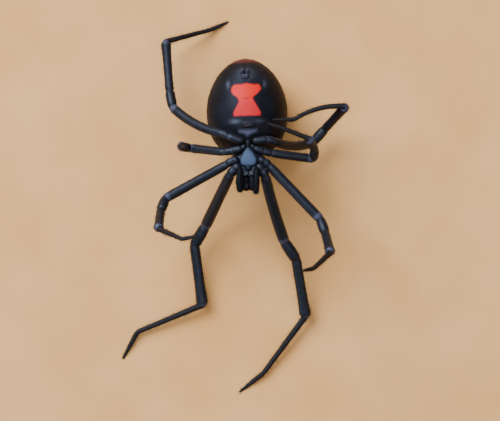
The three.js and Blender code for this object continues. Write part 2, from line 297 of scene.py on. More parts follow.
abdomen_cuticle, tree = new_material("satin_leathery_cuticle")
plain = blend(tree, ramp(tree, noise(tree, 1.8), 0.35, 0.65), "#070709", "#0e0f12")
# Pale: paler skin over the lungs and in streaks by the hourglass, with painted sheen round the spinnerets
# and a painted lighter left side.
plain = blend(tree, stored(tree, "pale"), plain, "#3d3f42")
# Fine leathery grain, 0.05 mm, too fine to see from the camera and drawn for close looks.
grain = bump(tree, noise(tree, 0.05, 2.0), 0.0022)
folds = bump(tree, noise(tree, 0.45, 4.0), 0.012, grain)
wax = ramp(tree, noise(tree, 0.6), 0.3, 0.7, 0.5, 0.58)
cuticle(tree, marked_colour(tree, plain), roughness=wax, shine=0.09, normal=folds)
print(abdomen_cuticle.name, "has", len(tree.nodes), "nodes")

# %% [markdown]
# The legs are hard tubes with a satin gloss, blurred by their bristles. At each joint the shell
# stops and soft skin shows, a little paler, with a painted glint on it where the joint catches the
# light. The thin far pieces are dark brown, where light gets into them, and duller, as their
# bristles stand closer.

# %% The legs' cuticle
leg_cuticle, tree = new_material("satin_leg_cuticle")
thin = ramp(tree, stored(tree, "thin"), 0.0, 1.0)
shell = blend(tree, ramp(tree, noise(tree, 0.5), 0.4, 0.7), "#0c0d10", "#121317")
shell = blend(tree, thin, shell, "#100b09")
# The paler joints: soft skin with painted glints on it, strongest at the ends of femur and tibia.
joint = ramp(tree, stored(tree, "joint"), 0.3, 1.0)
grain = bump(tree, noise(tree, 0.06, 2.0), 0.002)
wax = ramp(tree, noise(tree, 0.4), 0.3, 0.7, 0.44, 0.52)
# The thin pieces are rougher by this much.
THIN_DULLNESS = 0.22
links = {0: thin, 2: wax}
duller = put(tree, "ShaderNodeMath", {1: THIN_DULLNESS}, links, operation="MULTIPLY_ADD").outputs[0]
cuticle(tree, blend(tree, joint, shell, "#313039"), roughness=duller, shine=0.15, normal=grain)
print(leg_cuticle.name, "has", len(tree.nodes), "nodes")

# %% [markdown]
# The front body is the hardest part: a thick smooth shield over her back, a flat breastplate
# between the legs with the blue of the sky painted on as a reflection, and dull black mouth parts,
# with a pale fringe, partly a painted highlight, where the two mouth plates meet.

# %% The front body's cuticle, and small finishes
shield_cuticle, tree = new_material("polished_shield_cuticle")
shell = blend(tree, ramp(tree, noise(tree, 0.7), 0.4, 0.7), "#0f1014", "#171920")
grain = bump(tree, noise(tree, 0.09, 3.0), 0.004)
cuticle(tree, shell, roughness=0.46, shine=0.14, normal=grain)

breastplate_painted_reflection, tree = new_material("smooth_breastplate_painted_sky_reflection")
grain = bump(tree, noise(tree, 0.12, 3.0), 0.004)
# The slate-blue tone is a painted reflection of the sky, and the dark rim a painted shade where the plate
# tilts away.
tone = blend(tree, noise(tree, 0.5), "#2d3641", "#35404d")
rim = ramp(tree, stored(tree, "rim"), 0.15, 0.8)
cuticle(tree, blend(tree, rim, tone, "#10141a"), roughness=0.55, shine=0.1, normal=grain)

mouth_cuticle, tree = new_material("dull_black_mouth_cuticle")
grain = bump(tree, noise(tree, 0.07, 2.0), 0.005)
tone = blend(tree, noise(tree, 0.3), "#050506", "#090809")
cuticle(tree, tone, roughness=0.62, shine=0.06, normal=grain)

mouth_plate_cuticle, tree = new_material("pale_tipped_glinting_mouth_plate_cuticle")
# The pale fringe is partly the brush of pale hairs on the plate tips and partly a painted highlight
# there.
tone = blend(tree, stored(tree, "fringe_and_glint"), "#14161b", "#474c46")
grain = bump(tree, noise(tree, 0.06), 0.004)
cuticle(tree, tone, roughness=0.6, shine=0.08, normal=grain)

spinneret_cuticle, tree = new_material("grey_tipped_spinneret_cuticle")
tone = blend(tree, stored(tree, "tip"), "#1a191d", "#2d2b31")
grain = bump(tree, noise(tree, 0.05), 0.004)
cuticle(tree, tone, roughness=0.6, shine=0.12, normal=grain)

opening_cuticle, tree = new_material("wrinkled_red_brown_opening_cuticle")
tone = blend(tree, ramp(tree, noise(tree, 0.3), 0.35, 0.65), "#0a0708", "#1a1216")
wrinkles = bump(tree, noise(tree, 0.16), 0.012)
cuticle(tree, tone, roughness=0.55, shine=0.1, normal=wrinkles)

horn, tree = new_material("dark_red_brown_horn")
tone = blend(tree, noise(tree, 0.1), "#0a0504", "#130807")
finish(tree, Base_Color=tone, Roughness=0.45, IOR=CHITIN_IOR, Specular_IOR_Level=0.15)

eye_lens, tree = new_material("wet_black_eye_lens")
finish(tree, Base_Color=blend(tree, noise(tree, 0.2), "#050506", "#0d0a0c"), Roughness=0.06, IOR=1.5)

bristle, tree = new_material("black_bristle")
tone = blend(tree, noise(tree, 0.3), "#080707", "#14100e")
tone = blend(tree, ramp(tree, stored(tree, "mark"), -0.05, 0.06), tone, "#b53222")
finish(tree, Base_Color=tone, Roughness=0.5, IOR=CHITIN_IOR, Specular_IOR_Level=0.12)
print(len(bpy.data.materials), "materials")

# %% [markdown]
# ## The abdomen
# The abdomen is a fat egg, blunt in front, and flat only where it presses on the floor. It is made
# as a grid of directions from its middle: each direction is stretched by the egg's sizes, with its
# own power in front and behind, as the solid is. Low relief is then added as outward distance:
# the furrow across her belly, the lung covers beside it, the dimples where muscles pull the skin
# in, and wrinkles round the spinnerets. A sculpted mesh could do this too, but formulas can be
# measured, changed and checked against the solid.

# %% Egg surfaces
ABDOMEN = dict(
    centre=(0, 0, 4.15), width=3.92, front=4.42, rear=5.17, up=4.12, down=4.32, powers=(2.3, 1.9)
)
ABDOMEN_ROWS, ABDOMEN_COLUMNS = 216, 300


def egg_points(egg, directions):
    """Points of an egg. With ring the distance of a unit direction from the Y axis and p the power,
    x and z grow by ring^(2/p - 1) and y becomes |y|^(2/p), each times the egg's own size."""
    x, y, z = np.moveaxis(np.asarray(directions, float), -1, 0)
    power = np.where(y < 0, *egg["powers"])
    reach = np.where(y < 0, -egg["front"], egg["rear"])
    ring = np.maximum(np.hypot(x, z), 1e-6)
    swell = ring ** (2 / power - 1)
    height = np.where(z > 0, egg["up"], egg["down"])
    points = [x * swell * egg["width"], np.abs(y) ** (2 / power) * reach, z * swell * height]
    return np.stack(points, axis=-1) + egg["centre"]


def ring_directions(rows, columns):
    """Unit directions in rings from the front pole to the rear one. They turn right-handed about
    +Y, so that the faces point outwards."""
    polar = ((np.arange(rows) + 0.5) / rows * np.pi)[:, None]
    turn = (np.arange(columns) / columns * 2 * np.pi)[None, :]
    ring = np.sin(polar)
    along = -np.cos(polar) * np.ones_like(turn)
    return np.stack([ring * np.cos(turn), along, -ring * np.sin(turn)], axis=-1)


directions = ring_directions(ABDOMEN_ROWS, ABDOMEN_COLUMNS)
belly = egg_points(ABDOMEN, directions)
print("abdomen grid", belly.shape)


# %% The hourglass's outline
# Half widths of the hourglass from its front edge to its rear edge, in millimetres.
HOURGLASS_ALONG = (-0.6, -0.45, -0.2, 0.2, 0.65, 0.95, 1.15, 1.35, 1.6, 1.85, 2.1, 2.4, 2.6, 2.75)
HOURGLASS_HALF = (1.18, 1.28, 1.32, 1.12, 0.86, 0.71, 0.7, 0.79, 1.12, 1.34, 1.42, 1.34, 1.1, 0.85)
HOURGLASS_FRONT, HOURGLASS_REAR = -0.46, 2.54
# Its rear edge comes to a low peak in the middle.
PEAK, PEAK_HALF = 0.1, 0.5
# How far its rear half leans towards her left, as no real mark is even.
LEAN, LEAN_AT, LEAN_REACH = 0.17, 1.5, 0.45


def bell(distance, width):
    """A bell curve: 1 in the middle, and about a third at the given width."""
    return np.exp(-((distance / width) ** 2))


def inside_hourglass(x, y, z):
    """How far inside the hourglass's edge a point of the belly lies, in millimetres, or how far
    outside where it is negative: the least of the distances to its sides and its two ends."""
    half = np.interp(y, HOURGLASS_ALONG, HOURGLASS_HALF)
    from_axis = np.abs(x + LEAN * bell(y - LEAN_AT, LEAN_REACH))
    rear_edge = HOURGLASS_REAR + PEAK * bell(x, PEAK_HALF)
    inside = np.minimum(np.minimum(half - from_axis, y - HOURGLASS_FRONT), rear_edge - y)
    return np.where(z > ABDOMEN["centre"][2], np.clip(inside, -1, 1), -1)


x, y, z = np.moveaxis(belly, -1, 0)
mark = inside_hourglass(x, y, z)
print("grid points in the hourglass:", int((mark > 0).sum()))

# %% Low relief
# The furrow lies across the belly and bends forward towards its ends.
FURROW_Y, FURROW_BEND, FURROW_DEPTH, FURROW_WIDTH, FURROW_HALF = -1.3, 0.1, 0.02, 0.1, 2.0
LUNG_X, LUNG_Y, LUNG_HALF, LUNG_HEIGHT = 1.2, -1.0, (0.5, 0.22), 0.02
BELLY_DIMPLES = ((1.76, 2.6),)
BACK_DIMPLES = ((0.75, -1.6), (1.0, 0.3), (0.85, 1.9))
DIMPLE_DEPTH, DIMPLE_WIDTH = 0.04, 0.16
SPINNERET_ROOT = egg_points(ABDOMEN, (-0.025, 0.73, 0.68))
WRINKLE_HEIGHT, WRINKLE_SPACING, WRINKLE_START, WRINKLE_REACH = 0.012, 0.26, 0.3, 0.9

side = np.abs(x)
under = z > ABDOMEN["centre"][2]
furrow_at = FURROW_Y - FURROW_BEND * side**2
relief = -FURROW_DEPTH * bell(y - furrow_at, FURROW_WIDTH) * bell(side, FURROW_HALF)
lungs = bell(side - LUNG_X, LUNG_HALF[0]) * bell(y - LUNG_Y, LUNG_HALF[1])
relief = (relief + LUNG_HEIGHT * lungs) * under
for dimples, there in ((BELLY_DIMPLES, under), (BACK_DIMPLES, ~under)):
    for dimple_x, dimple_y in dimples:
        from_dimple = np.hypot(side - dimple_x, y - dimple_y)
        relief -= DIMPLE_DEPTH * bell(from_dimple, DIMPLE_WIDTH) * there
from_root = np.linalg.norm(belly - SPINNERET_ROOT, axis=-1)
waves = WRINKLE_HEIGHT * np.cos(from_root * 2 * np.pi / WRINKLE_SPACING)
relief += waves * bell(from_root, WRINKLE_REACH) * (from_root > WRINKLE_START)
belly = belly + directions * relief[..., None]
belly[..., 2] = np.maximum(belly[..., 2], 0)
print("relief from %.3f to %.3f mm" % (relief.min(), relief.max()))

# %% The skin with its marks
# The red spot: the height of its middle, its half width and half height, where along her it starts,
# and how far its middle counts as inside its edge.
SPOT_HEIGHT, SPOT_HALF, SPOT_FROM, SPOT_DEPTH = 3.5, (1.7, 2.1), 2.0, 1.5
STAIN_AT, STAIN_HALF = (-0.08, 1.2), (0.24, 0.1)
# How pale the skin is on her left and on her right, over the lungs and in the streaks beside the
# hourglass's rear corners. Her left is paler by a painted sheen, as the light falls from that side.
LUNG_PALENESS_AND_SHEEN, STREAK_PALENESS_AND_SHEEN = (0.95, 0.35), (0.8, 0.5)
STREAK_HALF = (0.17, 0.36)
# A painted sheen round the spinnerets: how pale it makes the skin, how far that reaches, and the
# half width of the slot between them, where it is left out as shade falls there.
SHEEN_ROOT, SHEEN_ROOT_REACH, SLOT_HALF = 0.55, 0.8, 0.1
# A painted highlight: a grey bar across the front of the belly, over the waist, where the skin
# there faces the light. Half its width, rear edge, front edge, how that slants back at the sides,
# and how far and how widely its middle reaches forward.
BAR_HALF, BAR_REAR, BAR_FRONT, BAR_SLANT, BAR_TIP, BAR_TIP_HALF = 0.8, -1.88, -2.22, 0.3, 0.14, 0.25

from_spot = np.hypot(side / SPOT_HALF[0], (z - SPOT_HEIGHT) / SPOT_HALF[1])
spot = np.where(y > SPOT_FROM, SPOT_DEPTH - SPOT_DEPTH * from_spot, -1)
from_stain = np.hypot((x - STAIN_AT[0]) / STAIN_HALF[0], (y - STAIN_AT[1]) / STAIN_HALF[1])
(streak_x, streak_y), *_ = BELLY_DIMPLES
streaks = bell(side - streak_x, STREAK_HALF[0]) * bell(y - streak_y, STREAK_HALF[1])
# Her left side is paler than her right by a painted sheen, from the light on that side.
pale = np.where(x < 0, *LUNG_PALENESS_AND_SHEEN) * lungs + np.where(x < 0, *STREAK_PALENESS_AND_SHEEN) * streaks
# The painted sheen round the spinnerets is left out over the slot between them, where shade falls.
shaded_slot = bell(x - SPINNERET_ROOT[0], SLOT_HALF)
pale = pale + SHEEN_ROOT * (1 - shaded_slot) * bell(from_root, SHEEN_ROOT_REACH)
highlight_bar_front = BAR_FRONT + BAR_SLANT * side - BAR_TIP * bell(x, BAR_TIP_HALF)
highlight_bar = np.minimum(np.minimum(BAR_HALF - side, BAR_REAR - y), y - highlight_bar_front)
marks = {
    "mark": [mark],
    "spot": [np.clip(spot, -1, 1)],
    "stain": [bell(from_stain, 1) * (mark > 0)],
    "pale": [np.clip(pale, 0, 1) * under],
    "highlight_bar": [np.where(under, np.clip(highlight_bar, -1, 1), -1)],
}
add_grids("abdomen_skin", [belly], abdomen_cuticle, ["abdomen", "hourglass_mark"], marks)

# %% [markdown]
# ## Tubes along a path
# Legs, feelers, jaws and spinnerets are all tubes that bend and change thickness. A path is laid
# through the joints, its corners are rounded by a moving bell-shaped average, and a ring of points
# is carried along it. The ring is turned by the path's direction and by one fixed side direction,
# so it never twists. A curve object with a bevel would be quicker to set up, but here each ring
# also needs its own thickness, and its own place for the joints and the hairs.

# %% Path and tube functions
def unit(vectors):
    """Vectors of length 1."""
    return vectors / np.maximum(np.linalg.norm(vectors, axis=-1, keepdims=True), 1e-12)


def averaged(values, width):
    """A moving average with a bell curve of this width, in samples. Past the ends the values go on
    as mirrored through the end value, so the ends stay where they are."""
    reach = int(3 * width) + 1
    kernel = bell(np.arange(-reach, reach + 1), width)
    before = 2 * values[0] - values[reach:0:-1]
    after = 2 * values[-1] - values[-2 : -reach - 2 : -1]
    padded = np.concatenate([before, values, after])
    return np.convolve(padded, kernel / kernel.sum(), "valid")


def path_through(joints, rounding, spacing=0.03, bows=()):
    """Evenly spaced points along straight lines between joints, with corners rounded by about
    rounding mm. A bow moves a line's middle sideways, level with the floor, as a parabola."""
    joints = np.asarray(joints, float)
    at_joints = np.concatenate([[0], np.cumsum(np.linalg.norm(np.diff(joints, axis=0), axis=1))])
    along = np.linspace(0, at_joints[-1], int(at_joints[-1] / spacing) + 2)
    path = np.stack([np.interp(along, at_joints, joints[:, axis]) for axis in range(3)], axis=1)
    for number, bow in dict(bows).items():
        share = (along - at_joints[number]) / (at_joints[number + 1] - at_joints[number])
        ahead = joints[number + 1] - joints[number]
        sideways = unit(np.array([-ahead[1], ahead[0], 0]))
        path += np.clip(1 - (2 * share - 1) ** 2, 0, None)[:, None] * bow * sideways
    step = along[1] - along[0]
    path = np.stack([averaged(path[:, axis], rounding / step) for axis in range(3)], axis=1)
    return path, along, at_joints


def round_ends(along, radii):
    """Radii that close as a ball does at both ends: r * sqrt(1 - (1 - d / r)^2) at distance d."""
    for end, distance in ((0, along - along[0]), (-1, along[-1] - along)):
        share = np.clip(1 - distance / max(radii[end], 1e-6), 0, 1)
        radii = radii * np.sqrt(np.maximum(1 - share**2, 1e-4))
    return radii


def path_frame(path, side_direction):
    """Unit directions along the path and two across it, the first as near to side_direction as it
    can be, and the second square to both."""
    ahead = unit(np.gradient(path, axis=0))
    across = unit(side_direction - (ahead @ side_direction)[:, None] * ahead)
    return ahead, across, np.cross(ahead, across)


def tube(path, radii, columns, side_direction, flatten=1.0):
    """Rings round a path: across * cos(turn) + up * sin(turn), times the radius there. flatten
    makes the rings thinner in their second direction."""
    _, across, up = path_frame(path, side_direction)
    turn = np.arange(columns) / columns * 2 * np.pi
    outward = np.cos(turn)[:, None] * across[:, None, :]
    outward = outward + flatten * np.sin(turn)[:, None] * up[:, None, :]
    return path[:, None, :] + radii[:, None, None] * outward


print("path helpers are ready")


# %% [markdown]
# ## The legs
# Each leg has seven pieces: coxa, trochanter, femur, patella, tibia, metatarsus and tarsus. The
# pose is given as it is in the solids, by a compass angle and an angle up from level for each
# piece. Thickness follows shares of the femur's. At every joint the tube narrows over a few
# tenths of a millimetre with a slight collar before it, where the shell's rim overlaps the next.
# The hind coxae reach inwards along the breastplate's rear edge, so each has a small lobe there.

# %% Leg sizes and pose
FRONT_BODY = np.array([0, -3.0, 7.9])
LEG_PAIRS = [
    {"hip": (0.72, -2.15, 0.6), "lengths": (0.85, 0.68, 8.0, 2.2, 6.0, 7.0, 3.1), "thickness": 1.08},
    {"hip": (0.88, -1.65, 0.6), "lengths": (0.72, 0.64, 7.1, 1.6, 3.4, 3.9, 1.6), "thickness": 0.94},
    {"hip": (0.5, -0.6, 0.6), "lengths": (1.08, 0.8, 4.2, 1.3, 2.1, 3.0, 1.4), "thickness": 0.86},
    {"hip": (0.42, 0.05, 0.6), "lengths": (1.46, 0.67, 6.9, 1.7, 4.9, 5.2, 2.1), "thickness": 0.92},
]
POSES = {
    (1, "left"): ((-148, -10), (-126, -18), (-118, -46), (-122, -15), (-84, -8), (-159, -4), (-120, -10)),
    (1, "right"): ((-45, -10), (-67, -18), (-75, -34), (-58, -20), (-82, -18), (-128, -5), (-143, -10)),
    (2, "left"): ((-173, -10), (-144, -18), (-153, -17), (-112, 38), (-96, 59), (-24, 50), (10, 22)),
    (2, "right"): ((-22, -10), (-44, -18), (-48, 0), (-72, 28), (-79, 56), (-141, 56), (-170, 50)),
    (3, "left"): ((-170, -10), (-171, -18), (171, -36), (170, 60), (172, 88), (-20, 86), (-30, 78)),
    (3, "right"): ((-19, -10), (-15, -18), (-9, -14), (80, 50), (115, 57), (157, 12), (162, 8)),
    (4, "left"): ((160, -5), (150, -18), (150, -35), (99, -18), (93, -7), (15, -30), (23, -16)),
    (4, "right"): ((6, -5), (-16, -18), (-1, -55), (47, 5), (46, 55.5), (-167, 8), (179, 10)),
}
BOWS = {(1, "right"): {2: -0.1}, (4, "left"): {2: 0.42}, (4, "right"): {2: -0.45, 5: -0.45}}
# Where along each piece, and half thickness there as a share of the femur's thickness.
PROFILE = [
    ((0, 0.36), (0.5, 0.42), (1, 0.41)),
    ((0, 0.4), (1, 0.44)),
    ((0, 0.43), (0.15, 0.475), (0.5, 0.49), (0.85, 0.51), (1, 0.48)),
    ((0, 0.48), (0.5, 0.53), (1, 0.48)),
    ((0, 0.46), (0.3, 0.45), (0.7, 0.47), (0.93, 0.53), (1, 0.5)),
    ((0, 0.32), (0.1, 0.28), (0.6, 0.245), (1, 0.22)),
    ((0, 0.22), (0.5, 0.19), (1, 0.09)),
]
# The soft skin at each joint, from the coxa's outer end on, with a painted glint on it: how far it
# lies back over the piece before it, how far it reaches and how pale it is. The palest are painted
# glints at the ends of femur and tibia.
JOINT_SKIN_AND_GLINTS = (
    (0, 0.2, 0.6), (0, 0.2, 0.55), (0.33, 0.4, 1), (0, 0.2, 0.45), (0.06, 0.22, 1), (0, 0.2, 0.45)
)
SIDE_SIGN = {"left": -1, "right": 1}


def leg_joints(pair, side_name, pose):
    """The hip and the end of each piece: the last point plus length times the unit direction
    (cos up * cos turn, cos up * sin turn, sin up)."""
    turn, rise = np.radians(np.array(pose, float)).T
    steps = np.stack([np.cos(rise) * np.cos(turn), np.cos(rise) * np.sin(turn), np.sin(rise)], axis=1)
    hip = np.array(pair["hip"]) * (SIDE_SIGN[side_name], 1, 1) + FRONT_BODY
    reached = np.cumsum(steps * np.array(pair["lengths"])[:, None], axis=0)
    return hip + np.concatenate([np.zeros((1, 3)), reached])


print("a front leg is %.1f mm long" % sum(LEG_PAIRS[0]["lengths"]))


# %% Leg skins
LEG_COLUMNS = 24
RING_SPACING = 0.075
CORNER_ROUNDING = 0.16
# The dip at each joint and the collar before it. Their widths and the collar's distance are shares
# of the radius there, and each dip is wider by DIP_MARGIN.
DIP_DEPTH, DIP_WIDTH, DIP_MARGIN = 0.11, 0.3, 0.03
COLLAR_HEIGHT, COLLAR_BACK, COLLAR_WIDTH = 0.035, 0.75, 0.4
# The profile's end points lie this share inside their piece, so that no two fall together.
JUST_INSIDE = 0.001
# The metatarsus is piece number 5, counted from 0. From its root on the leg counts as thin.
METATARSUS, THIN_WITHIN = 5, 0.4


def leg_radii(pair, along, at_joints):
    """Half thickness along a leg. Each joint narrows it by a tenth, as a bell curve a third of its
    radius wide, after a low collar three quarters of the radius before it."""
    knots, shares = [], []
    for number, profile in enumerate(PROFILE):
        length = at_joints[number + 1] - at_joints[number]
        places = np.clip([place for place, _ in profile], JUST_INSIDE, 1 - JUST_INSIDE)
        knots += list(at_joints[number] + places * length)
        shares += [share for _, share in profile]
    radii = averaged(np.interp(along, knots, shares), width=2.0) * pair["thickness"]
    for at, size in zip(at_joints[1:-1], np.interp(at_joints, along, radii)[1:-1]):
        radii = radii * (1 - DIP_DEPTH * bell(along - at, DIP_WIDTH * size + DIP_MARGIN))
        from_collar = along - at + COLLAR_BACK * size
        radii = radii * (1 + COLLAR_HEIGHT * bell(from_collar, COLLAR_WIDTH * size))
    return radii


legs = {}
for (number, side_name), pose in POSES.items():
    pair = LEG_PAIRS[number - 1]
    joints = leg_joints(pair, side_name, pose)
    bows = BOWS.get((number, side_name), {})
    path, along, at_joints = path_through(joints, CORNER_ROUNDING, RING_SPACING, bows)
    radii = round_ends(along, leg_radii(pair, along, at_joints))
    plane_normal = np.linalg.svd(joints - joints.mean(axis=0))[2][2]
    grid = tube(path, radii, LEG_COLUMNS, plane_normal)
    grid[..., 2] = np.maximum(grid[..., 2], 0)
    skin_at = zip(at_joints[1:-1], JOINT_SKIN_AND_GLINTS)
    joint_skin_and_glints = sum(paleness * bell(along - at + back, reach) for at, (back, reach, paleness) in skin_at)
    thinness = np.clip((along - at_joints[METATARSUS]) / THIN_WITHIN, 0, 1)
    name = f"leg_{number}_{side_name}"
    solids = [f"{name}_{part}" for part in ("femur", "tibia", "foot")]
    values = {"joint": [joint_skin_and_glints[:, None]], "thin": [thinness[:, None]]}
    add_grids(f"{name}_skin", [grid], leg_cuticle, solids, values)
    legs[number, side_name] = dict(
        path=path, along=along, at_joints=at_joints, radii=radii, side=plane_normal
    )

# %% Inner ends of the hind coxae
HIND_LOBE = ((0.28, -0.26, 0.6), (0.66, -0.68, 0.6))
LOBE_RADIUS = 0.2
UPWARD = np.array([0, 0, 1.0])
lobes = []
for sign in SIDE_SIGN.values():
    line = np.array(HIND_LOBE) * (sign, 1, 1) + FRONT_BODY
    path, along, _ = path_through(line, rounding=0.05)
    radii = round_ends(along, np.full(len(along), LOBE_RADIUS))
    lobes.append(tube(path, radii, LEG_COLUMNS, UPWARD))
add_grids("hind_hips", lobes, leg_cuticle, values={"joint": [0.0, 0.0], "thin": [0.0, 0.0]})

# %% [markdown]
# ## The front body
# One hard shield covers her back and sides. It is two eggs run together, a broad one for the chest
# and a narrow one for the head. Rings are carried along Y, and each is as wide and deep as the
# larger egg there, with the crossing rounded off. On the back lie the pit where the stomach
# muscles hold and four pairs of grooves that fan out from it, the first of them behind the head.

# %% The two eggs of the shield
THORAX = dict(y=-1.95, z=-0.3, width=1.58, front=1.7, rear=1.5, up=0.8, down=0.92, powers=(2, 2))
HEAD = dict(y=-3.1, z=-0.3, width=0.98, front=1.57, rear=1.4, up=0.68, down=0.88, powers=(3.6, 2))
SHIELD_ROWS, SHIELD_COLUMNS = 120, 144


def share_at(egg, y):
    """How wide an egg still is at y, as a share of its widest: (1 - |y / reach|^p)^(1 / p)."""
    offset = y - egg["y"]
    reach = np.where(offset < 0, egg["front"], egg["rear"])
    power = np.where(offset < 0, *egg["powers"])
    return np.clip(1 - np.abs(offset / reach) ** power, 0, 1) ** (1 / power)


def run_together(y, size):
    """The larger of two eggs' sizes at y, rounded where they cross: (a^8 + b^8)^(1/8)."""
    return sum((egg[size] * share_at(egg, y)) ** 8 for egg in (THORAX, HEAD)) ** (1 / 8)


front_y, rear_y = HEAD["y"] - HEAD["front"], THORAX["y"] + THORAX["rear"]
polar = (np.arange(SHIELD_ROWS) + 0.5) / SHIELD_ROWS * np.pi
shield_y = (front_y + rear_y) / 2 - (rear_y - front_y) / 2 * np.cos(polar)
turn = np.arange(SHIELD_COLUMNS) / SHIELD_COLUMNS * 2 * np.pi
across, rise = np.cos(turn), -np.sin(turn)
width, up, down = (run_together(shield_y, size)[:, None] for size in ("width", "up", "down"))
lengthwise = np.repeat(shield_y[:, None], SHIELD_COLUMNS, axis=1)
upright = THORAX["z"] + np.where(rise > 0, up, down) * rise
shield = np.stack([width * across, lengthwise, upright], axis=-1)
print("shield from %.2f to %.2f mm" % (front_y, rear_y))

# %% The shield's pit, grooves and rim
PIT_Y, PIT_DEPTH, PIT_HALF = -1.6, 0.09, (0.16, 0.24)
# The grooves that fan out from the pit: their angles from straight ahead, in radians, their depth
# and width, and how far out they are deepest and over what length.
GROOVES_AT = (0.62, 1.25, 1.85, 2.45)
GROOVE_DEPTH, GROOVE_WIDTH, GROOVE_OUT, GROOVE_REACH = 0.035, 0.09, 0.75, 0.5
RIM_HEIGHT, RIM_BELOW, RIM_WIDTH = 0.04, 0.12, 0.1

x, y, z = np.moveaxis(shield, -1, 0)
# Full on the back, and fading out towards the sides.
back = np.clip(-rise, 0, 1)[None, :] ** 0.5
spoke = np.arctan2(np.abs(x), -(y - PIT_Y))
from_pit = np.hypot(x, y - PIT_Y)
grooves = -PIT_DEPTH * bell(x, PIT_HALF[0]) * bell(y - PIT_Y, PIT_HALF[1])
for angle in GROOVES_AT:
    depth = GROOVE_DEPTH * bell(spoke - angle, GROOVE_WIDTH) * bell(from_pit - GROOVE_OUT, GROOVE_REACH)
    grooves = grooves - depth
rim = RIM_HEIGHT * bell(rise[None, :] + RIM_BELOW, RIM_WIDTH)
outward = unit(np.stack([x, 0 * y, z - THORAX["z"]], axis=-1))
shield = shield + outward * (grooves * back + rim)[..., None] + FRONT_BODY
add_grids("shield", [shield], shield_cuticle, ["cephalothorax"])

# %% [markdown]
# The breastplate, or sternum, is a shallow shield shape, square in front and pointed behind, with
# a small notch for each hip. It lies level under the sky, whose blue reflection is painted on its
# middle, fading to near-black towards its rim as painted shade, so it is the brightest part of her.
# In front of it sit the lip and the two plates that flank the mouth.

# %% The breastplate
STERNUM = dict(
    centre=(0, -1.74, 0.72), width=0.86, front=0.62, rear=1.3, up=0.36, down=0.36, powers=(2.8, 1.3)
)
# The notches for the hips: their angles from straight behind, in radians, their width and depth.
NOTCHES_AT, NOTCH_WIDTH, NOTCH_DEPTH = (0.28, 0.95, 1.75, 2.3), 0.12, 0.07
# A power below 1 flattens the plate's top and bottom and makes its edge steeper.
FLATNESS = 0.6

directions = ring_directions(rows=60, columns=96)
sternum = egg_points(STERNUM, directions)
heading = np.arctan2(sternum[..., 0], sternum[..., 1] - STERNUM["centre"][1])
notches = sum(bell(np.abs(heading) - angle, NOTCH_WIDTH) for angle in NOTCHES_AT)
upward = directions[..., 2]
edge = 1 - np.abs(upward)
sternum[..., 0] *= 1 - NOTCH_DEPTH * notches * edge
flattened = np.sign(upward) * np.abs(upward) ** FLATNESS
sternum[..., 2] = STERNUM["centre"][2] + STERNUM["up"] * flattened
# The painted shade grows towards the plate's edge.
add_grids("sternum_plate", [sternum + FRONT_BODY], breastplate_painted_reflection, values={"rim": [edge]})

# %% Lip and mouth plates
LABIUM = dict(
    centre=(0, -2.43, 0.8), width=0.31, front=0.3, rear=0.3, up=0.32, down=0.3, powers=(2.2, 2)
)
# The right mouth plate, root first. Its pale fringe, partly a painted highlight on the tip, grows
# from the given share of its length on.
MOUTH_PLATE = ((0.6, -2.3, 0.66), (0.52, -2.75, 0.78), (0.16, -3.18, 0.84))
PLATE_ALONG, PLATE_RADII = (0, 0.5, 0.85, 1), (0.27, 0.28, 0.25, 0.18)
FRINGE_FROM = 0.6875

grids = [egg_points(LABIUM, ring_directions(rows=30, columns=40)) + FRONT_BODY]
fringe_and_glint_shares = [0.0]
for sign in (-1, 1):
    line = np.array(MOUTH_PLATE) * (sign, 1, 1)
    path, along, _ = path_through(line, rounding=0.16)
    share = along / along[-1]
    radii = round_ends(along, np.interp(share, PLATE_ALONG, PLATE_RADII))
    broad_side = np.array([sign * 0.7, -0.7, 0.0])
    plate = tube(path, radii, columns=28, side_direction=broad_side, flatten=0.8)
    grids.append(plate + FRONT_BODY)
    fringe_and_glint_shares.append(np.interp(share, (FRINGE_FROM, 1), (0, 1))[:, None])
add_grids("mouth_plates", grids, mouth_plate_cuticle, values={"fringe_and_glint": fringe_and_glint_shares})

# %% [markdown]
# The jaws are two stout tubes that hang from the front of the head, each with a fang that folds
# in. The feelers are short legs of four free pieces, thick and hairy.

# %% Jaws and fangs
# The right jaw and its fang, root first. The left ones are their mirror images.
JAW = [(0.29, -3.15, 0.28), (0.33, -3.95, 0.5), (0.34, -4.62, 1.15)]
JAW_ALONG, JAW_RADII = (0, 0.3, 0.7, 0.93, 1), (0.3, 0.35, 0.35, 0.3, 0.24)
FANG = [(0.3, -4.42, 1.08), (0.26, -4.38, 1.3), (0.13, -4.15, 1.37), (0.08, -3.98, 1.28)]
FANG_RADII = (0.11, 0.015)
ACROSS = np.array([1.0, 0, 0])

for side_name, sign in SIDE_SIGN.items():
    mirror = np.array([sign, 1, 1])
    path, along, _ = path_through(JAW * mirror, rounding=0.2)
    radii = round_ends(along, np.interp(along / along[-1], JAW_ALONG, JAW_RADII))
    jaw = tube(path, radii, columns=32, side_direction=ACROSS) + FRONT_BODY
    add_grids(f"jaw_{side_name}", [jaw], mouth_cuticle, [f"chelicera_{side_name}"])
    path, along, _ = path_through(FANG * mirror, rounding=0.12, spacing=0.02)
    radii = round_ends(along, np.interp(along / along[-1], (0, 1), FANG_RADII))
    fang = tube(path, radii, columns=16, side_direction=ACROSS) + FRONT_BODY
    add_grids(f"fang_{side_name}", [fang], horn)

# %% Feelers
PALP_ROOT = (0.72, -2.45, 0.8)
PALPS = {
    "left": [(-0.84, -2.7, 1.1), (-0.95, -3.5, 1.4), (-0.94, -4.15, 1.35), (-0.83, -4.83, 1.12)],
    "right": [(0.76, -2.7, 1.1), (0.72, -3.5, 1.4), (0.68, -4.2, 1.3), (0.61, -5.06, 1.05)],
}
PALP_RADII = (0.2, 0.25, 0.28, 0.31)
